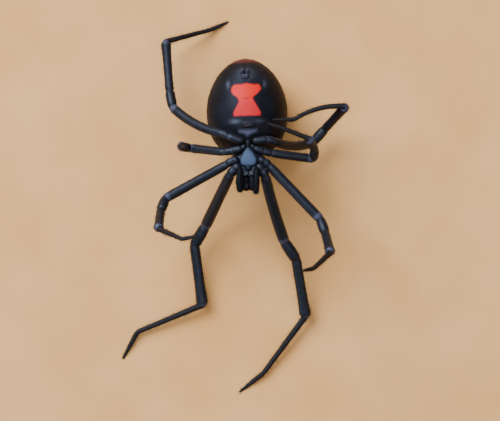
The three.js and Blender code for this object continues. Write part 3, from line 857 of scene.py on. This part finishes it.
# The left feeler's tip is the blunter one.
PALP_TIP = {"left": 0.31, "right": 0.24}
PALP_DIP, PALP_DIP_WIDTH = 0.1, 0.08

feelers = {}
for side_name, sign in SIDE_SIGN.items():
    joints = np.array([PALP_ROOT * np.array([sign, 1, 1]), *PALPS[side_name]]) + FRONT_BODY
    path, along, at_joints = path_through(joints, rounding=0.12)
    radii = averaged(np.interp(along, at_joints, (*PALP_RADII, PALP_TIP[side_name])), width=3)
    for at in at_joints[1:-1]:
        radii = radii * (1 - PALP_DIP * bell(along - at, PALP_DIP_WIDTH))
    radii = round_ends(along, radii)
    feeler = tube(path, radii, LEG_COLUMNS, ACROSS)
    add_grids(f"feeler_{side_name}", [feeler], mouth_cuticle, [f"pedipalp_{side_name}"])
    feelers[side_name] = dict(path=path, along=along, at_joints=at_joints, radii=radii, side=ACROSS)

# %% [markdown]
# She has eight eyes in two rows across the front of the head, each a clear black dome in a low
# socket. They are small spheres let half into the shell, where a ray from the head's middle meets
# it.

# %% Eyes
# How far each pair is turned out to the side and down towards the back, in degrees.
EYES = ((9, 18), (27, 22), (10, 36), (30, 36))
EYE_RADIUS, SOCKET_RIM, SOCKET_SINK = 0.105, 0.04, 0.05
HEAD_EGG = {**HEAD, "centre": (0, HEAD["y"], HEAD["z"])}

domes, sockets = [], []
ball = ring_directions(rows=14, columns=20)
for turned, dipped in EYES:
    for sign in (-1, 1):
        side_angle, dip = np.radians([turned, dipped])
        level = np.array([sign * np.sin(side_angle), -np.cos(side_angle)])
        towards = np.array([*level * np.cos(dip), -np.sin(dip)])
        centre = egg_points(HEAD_EGG, towards)
        domes.append(ball * EYE_RADIUS + centre + FRONT_BODY)
        collar = ball * (EYE_RADIUS + SOCKET_RIM) + centre - towards * SOCKET_SINK
        sockets.append(collar + FRONT_BODY)
add_grids("eyes", domes, eye_lens)
add_grids("eye_sockets", sockets, shield_cuticle)

# %% [markdown]
# ## Waist, spinnerets and the plates of the belly
# A thin stalk joins the two halves of the body. Behind it a low wrinkled brown plate covers the
# opening for her eggs. The six spinnerets stand in three pairs round a dark slot, and a small knob
# closes the end of the gut behind them.

# %% Waist stalk and egg opening
STALK = ((0, -3.6, 7.55), (0, -3.0, 7.4), (0, -2.5, 7.25))
STALK_RADIUS, FOLD_HEIGHT, FOLD_SPACING = 0.24, 0.02, 0.14
path, along, _ = path_through(STALK, rounding=0.15)
radii = round_ends(along, STALK_RADIUS + FOLD_HEIGHT * np.cos(along * 2 * np.pi / FOLD_SPACING))
stalk = tube(path, radii, columns=32, side_direction=ACROSS)
add_grids("waist_stalk", [stalk], leg_cuticle, values={"joint": [0.0], "thin": [0.0]})

EPIGYNUM = dict(
    centre=(0.06, -1.25, 8.1), width=0.68, front=0.4, rear=0.36, up=0.16, down=0.2, powers=(2, 2)
)
SLIT_Y, SLIT_DEPTH, SLIT_HALF = -1.3, 0.04, (0.3, 0.1)
ridge = egg_points(EPIGYNUM, ring_directions(rows=30, columns=48))
slit = bell(ridge[..., 0], SLIT_HALF[0]) * bell(ridge[..., 1] - SLIT_Y, SLIT_HALF[1])
ridge[..., 2] -= SLIT_DEPTH * slit
add_grids("egg_opening", [ridge], opening_cuticle)

# %% Spinnerets
BELLY_NORMAL = unit(np.array([0, 0.65, 0.76]))
ALONG_BELLY = np.cross(BELLY_NORMAL, ACROSS)
# The spinnerets stand out of her belly and lean to the rear by this share.
LEAN_BACK = 0.5
OUT = unit(BELLY_NORMAL + LEAN_BACK * ALONG_BELLY)
# Across, along the belly, length and radius: the front pair, the middle pair, the rear pair and the
# end knob. The middle pair is so short that only a dark slot shows between the others.
SPINNERETS = (
    (0.11, -0.5, 0.28, 0.29),
    (0.07, -0.16, 0.02, 0.06),
    (0.29, -0.08, 0.5, 0.19),
    (0, 0.6, 0.08, 0.16),
)
BURIED = 0.35
TAPER_ALONG, TAPER = (0, 0.5, 0.9, 1), (1.05, 1.0, 0.75, 0.55)
# How far each tip leans in, as a share, and how far its middle bulges out.
LEAN_IN, BULGE = 0.3, 0.03
# The end piece's joint: its place along, depth and width. Only longer ones than SHORT have pale tips.
END_AT, END_DIP, END_WIDTH = 0.62, 0.07, 0.06
PALE_ALONG, PALENESS, SHORT = (0.48, 0.88), (0, 0.8), 0.1

grids, tips = [], []
for across_by, along_by, length, radius in SPINNERETS:
    for sign in (-1, 1) if across_by else (1,):
        root = SPINNERET_ROOT + np.array([sign * across_by, 0, 0]) + ALONG_BELLY * along_by
        tip = root + OUT * length + np.array([-sign * across_by * LEAN_IN, 0, 0])
        middle = (root + tip) / 2 + (sign * BULGE, 0, 0)
        path, along, _ = path_through([root - OUT * BURIED, middle, tip], rounding=0.1, spacing=0.025)
        share = along / along[-1]
        radii = radius * np.interp(share, TAPER_ALONG, TAPER)
        radii = round_ends(along, radii * (1 - END_DIP * bell(share - END_AT, END_WIDTH)))
        grids.append(tube(path, radii, columns=20, side_direction=ACROSS))
        tips.append(np.interp(share, PALE_ALONG, PALENESS)[:, None] * (length > SHORT))
add_grids("spinnerets", grids, spinneret_cuticle, values={"tip": tips})
print(len(grids), "spinnerets and end knob")

# %% [markdown]
# ## Claws
# Each foot ends in two curved main claws and a small third one between them. They are thin tapered
# tubes bent by a quadratic curve: root + ahead * t + bend * t squared, where bend lies in the plane
# that the leg bends in.

# %% Claws
# How far to the side each claw stands, and its length.
CLAWS = ((0.05, 0.17), (-0.05, 0.17), (0.0, 0.11))
CLAW_RADIUS, CLAW_TAPER, CLAW_BEND = 0.024, 0.8, 0.55
CLAW_RINGS, CLAW_COLUMNS = 12, 8
# The ring of the leg that the claws grow from, and the one whose directions they follow.
ROOT_RING, DIRECTION_RING = -4, -6
LOWEST_CLAW = 0.025

claws = []
share = np.linspace(0, 1, CLAW_RINGS)[:, None]
for leg in legs.values():
    ahead, across, bend = (vectors[DIRECTION_RING] for vectors in path_frame(leg["path"], leg["side"]))
    root = leg["path"][ROOT_RING]
    for spread, length in CLAWS:
        path = root + across * spread + ahead * length * share + bend * length * CLAW_BEND * share**2
        path[:, 2] = np.maximum(path[:, 2], LOWEST_CLAW)
        radii = round_ends(share[:, 0] * length, CLAW_RADIUS * (1 - CLAW_TAPER * share[:, 0]))
        claws.append(tube(path, radii, CLAW_COLUMNS, across + 0.01))
add_grids("claws", claws, horn)
print(len(claws), "claws")

# %% [markdown]
# ## Bristles
# A widow looks bald from a step away but is covered in fine dark bristles: sparse and short on the
# abdomen, longer and closer on the far pieces of the legs. Particle hair would be the usual way, but
# the export drops it, so each bristle is a three-sided spike with a bend in the middle, all made at
# once as arrays. The map named OFBake puts each one on a patch 0.003 wide at its root's place: how
# far along and how far round the skin it grows from.

# %% Spikes
PATCH = 0.003
# Each spike has a ring of three points at each of these shares of its length, and then its tip.
RING_LEVELS = (0.0, 0.5)
SPIKE_POINTS = 3 * len(RING_LEVELS) + 1
SPIKE_QUADS = np.array([[0, 1, 4, 3], [1, 2, 5, 4], [2, 0, 3, 5]])
SPIKE_TRIANGLES = np.array([[3, 4, 6], [4, 5, 6], [5, 3, 6], [0, 2, 1]])
# Where those points lie on the spike's patch, as shares of it.
SPIKE_LAYOUT = np.array([(0, 0), (1, 0), (0.5, 0), (0, 0.5), (1, 0.5), (0.5, 0.5), (0.5, 1)])
# How far a spike lies back at its root, how far it bends over and how much it thins.
LAID_BACK, BENT_OVER, THINNING = 0.8, 0.35, 0.45
LOWEST_SPIKE = 0.002


def add_spikes(name, roots, outward, flow, lengths, widths, places, marks):
    """One three-sided spike per root, as one piece. It leaves the skin between outward and flow,
    and bends over along flow: root + length * (t * start + BENT_OVER * t^2 * flow)."""
    start = unit(outward + LAID_BACK * flow)
    side = unit(np.cross(start, flow) + 1e-6)
    third = np.cross(start, side)
    corners = []
    for level in RING_LEVELS:
        centre = roots + lengths[:, None] * (level * start + BENT_OVER * level**2 * flow)
        for turn in np.arange(3) * 2 * np.pi / 3:
            spoke = np.cos(turn) * side + np.sin(turn) * third
            corners.append(centre + spoke * (widths * (1 - THINNING * level))[:, None])
    corners.append(roots + lengths[:, None] * (start + BENT_OVER * flow))
    points = np.stack(corners, axis=1)
    points[..., 2] = np.maximum(points[..., 2], LOWEST_SPIKE)
    first = (np.arange(len(roots)) * SPIKE_POINTS)[:, None, None]
    quads = (first + SPIKE_QUADS).reshape(-1, 4)
    triangles = (first + SPIKE_TRIANGLES).reshape(-1, 3)
    values = {"mark": np.repeat(marks, SPIKE_POINTS)}
    mesh = make_mesh(name, points.reshape(-1, 3), quads, triangles, values)
    layout = (places[:, None, :] + SPIKE_LAYOUT * PATCH).reshape(-1, 2)
    corner_points = np.concatenate([quads.ravel(), triangles.ravel()])
    mesh.uv_layers.new(name="OFBake").data.foreach_set("uv", layout[corner_points].ravel())
    add_piece(mesh, bristle)
    print(len(roots), name)


# %% Roots on a tube
# Each limb has its own band of the unwrap. BAND_FILL and LENGTH_FILL leave a little room at its edges.
BANDS, BAND_FILL, LENGTH_FILL = 10, 0.9, 0.99
# A root's distance from the tube's middle line, as a share of the radius.
ROOT_SHARE = 0.97


def on_tube(limb, count, start, end, band):
    """Random roots on a tube between two distances along it: points, outward and flow directions,
    and places in one band of the unwrap."""
    along = start + (end - start) * rng.random(count)
    turn = rng.random(count) * 2 * np.pi
    ahead, across, up = path_frame(limb["path"], limb["side"])

    def pick(vectors):
        columns = [np.interp(along, limb["along"], vectors[:, axis]) for axis in range(3)]
        return np.stack(columns, axis=1)

    outward = unit(np.cos(turn)[:, None] * pick(across) + np.sin(turn)[:, None] * pick(up))
    radii = np.interp(along, limb["along"], limb["radii"]) * ROOT_SHARE
    lengthwise = along / limb["along"][-1] * LENGTH_FILL
    crosswise = (band + turn / (2 * np.pi) * BAND_FILL) / BANDS
    places = np.stack([lengthwise, crosswise], axis=1)
    return pick(limb["path"]) + outward * radii[:, None], outward, unit(pick(ahead)), places


print("the unwrap has", BANDS, "bands for", len(legs) + len(feelers), "limbs")

# %% Bristles on the legs and feelers
# Bristles to a millimetre of each piece from the trochanter out, and their length.
LEG_COAT = ((14, 0.16), (22, 0.2), (34, 0.24), (44, 0.28), (48, 0.3), (62, 0.22))
FEELER_COUNT, FEELER_LENGTH = 230, 0.2
BRISTLE_WIDTH = 0.0095
# Between which shares of the usual length or width the bristles vary.
LEG_LENGTHS, FEELER_LENGTHS, BRISTLE_WIDTHS = (0.65, 1.25), (0.6, 1.3), (0.8, 1.3)

gathered = []
for band, leg in enumerate(legs.values()):
    for number, (density, length) in enumerate(LEG_COAT, start=1):
        start, end = leg["at_joints"][number : number + 2]
        count = int(density * (end - start))
        roots, outward, flow, places = on_tube(leg, count, start, end, band)
        gathered.append((roots, outward, flow, length * rng.uniform(*LEG_LENGTHS, count), places))
for band, feeler in enumerate(feelers.values(), start=len(legs)):
    start, end = feeler["at_joints"][1], feeler["along"][-1]
    roots, outward, flow, places = on_tube(feeler, FEELER_COUNT, start, end, band)
    lengths = FEELER_LENGTH * rng.uniform(*FEELER_LENGTHS, FEELER_COUNT)
    gathered.append((roots, outward, flow, lengths, places))
roots, outward, flow, lengths, places = (np.concatenate(column) for column in zip(*gathered))
widths = BRISTLE_WIDTH * rng.uniform(*BRISTLE_WIDTHS, len(roots))
unmarked = np.full(len(roots), -1.0)
add_spikes("leg_bristles", roots, outward, flow, lengths, widths, places, unmarked)

# %% Bristles on the abdomen
COAT_COUNT, COAT_LENGTH, COAT_WIDTH = 5200, 0.17, 0.006
COAT_LENGTHS, COAT_WIDTHS = (0.6, 1.3), (0.8, 1.2)
# Bristles stand at least this high over the floor and this far from the spinnerets' root.
COAT_ABOVE, COAT_FROM_ROOT = 0.12, 0.55
# How much of outward is in their start, how far they stray sideways and how deep they root.
COAT_LIFT, COAT_STRAY, COAT_SINK = 0.6, 0.12, 0.01
REARWARD = np.array([0, 1.0, 0])

towards = unit(rng.normal(size=(COAT_COUNT, 3)))
roots = egg_points(ABDOMEN, towards)
keep = (roots[:, 2] > COAT_ABOVE) & (np.linalg.norm(roots - SPINNERET_ROOT, axis=1) > COAT_FROM_ROOT)
towards, roots = towards[keep], roots[keep]
size = np.array([ABDOMEN["width"], (ABDOMEN["front"] + ABDOMEN["rear"]) / 2, ABDOMEN["up"]])
outward = unit((roots - ABDOMEN["centre"]) / size**2)
stray = COAT_STRAY * rng.normal(size=roots.shape)
flow = unit(REARWARD - (outward @ REARWARD)[:, None] * outward + stray)
turn = np.arctan2(-towards[:, 2], towards[:, 0]) / (2 * np.pi) % 1
places = np.stack([turn, np.arccos(-towards[:, 1]) / np.pi], axis=1) * LENGTH_FILL
lengths = COAT_LENGTH * rng.uniform(*COAT_LENGTHS, len(roots))
widths = COAT_WIDTH * rng.uniform(*COAT_WIDTHS, len(roots))
marks = inside_hourglass(*roots.T)
sunk = roots - outward * COAT_SINK
add_spikes("abdomen_bristles", sunk, outward * COAT_LIFT, flow, lengths, widths, places, marks)

# %% [markdown]
# ## Camera, floor and light
# The camera hangs straight over her and is turned by less than two degrees, as the picture shows
# her. At 300 mm above her chest a 225 mm lens sees 48 mm across. The main light is a broad cool
# panel up and to the picture's left, as the highlights along her legs tell. A larger, weaker one
# hangs overhead like open sky, and two small ones lift the shadows in front and on the right.
# The floor is plain, pale and warm, and its warmth shows again on the undersides of her legs.

# %% Camera
VIEW_WIDTH, CAMERA_ABOVE, CHEST_HEIGHT, NEAREST_SEEN = 48.08, 300.0, 8.0, 5.0
CAMERA_AT = (0.01, -9.59)
CAMERA_TURN = -1.67
camera_data = bpy.data.cameras.new("camera")
camera_data.sensor_width = 36.0
camera_data.lens = camera_data.sensor_width * CAMERA_ABOVE / VIEW_WIDTH
camera_data.clip_start = NEAREST_SEEN * MM
camera = in_scene("camera", camera_data)
camera.location = np.array([*CAMERA_AT, CHEST_HEIGHT + CAMERA_ABOVE]) * MM
camera.rotation_euler = (0, 0, np.radians(CAMERA_TURN))
bpy.context.scene.camera = camera
print("lens %.1f mm" % camera_data.lens)

# %% Floor
FLOOR_HALF = 1500.0
floor_paint, tree = new_material("matt_pale_floor_paint")
tone = blend(tree, ramp(tree, noise(tree, 9.0), 0.3, 0.7), "#b97e3a", "#bf8846")
finish(tree, Base_Color=tone, Roughness=0.85)
corners = np.array([(-1, -1, 0), (1, -1, 0), (1, 1, 0), (-1, 1, 0)]) * FLOOR_HALF
floor_mesh = make_mesh("floor", corners, np.array([[0, 1, 2, 3]]), np.zeros((0, 3), int))
floor_mesh.materials.append(floor_paint)
in_scene("floor", floor_mesh)
print("floor %.0f m across" % (2 * FLOOR_HALF * MM))

# %% Lights
AIM = np.array([0, -5.0, 5.0])
# Name, place and size in millimetres, power in watts and tint.
PANELS = (
    ("sky_panel", (-200, 250, 320), 290, 9.0, "#cfe0ff"),
    ("top_panel", (60, -40, 480), 420, 2.7, "#d6e2ff"),
    ("front_panel", (-330, -290, 130), 240, 0.9, "#c8dcff"),
    ("side_panel", (420, -260, 260), 160, 0.5, "#fff0dc"),
)
for name, place, size, power, tint in PANELS:
    panel = bpy.data.lights.new(name, "AREA")
    panel.size, panel.energy, panel.color = size * MM, power, colour(tint)[:3]
    light = in_scene(name, panel)
    light.location = np.array(place) * MM
    facing = AIM - place
    tilt = np.arccos(-facing[2] / np.linalg.norm(facing))
    light.rotation_euler = (tilt, 0, np.arctan2(facing[1], facing[0]) - np.pi / 2)
world = bpy.data.worlds.new("studio")
world.use_nodes = True
background = world.node_tree.nodes["Background"].inputs
background["Color"].default_value = colour("#c4d0e4")
background["Strength"].default_value = 0.2
bpy.context.scene.world = world
print(len(PANELS), "panels and a pale sky")
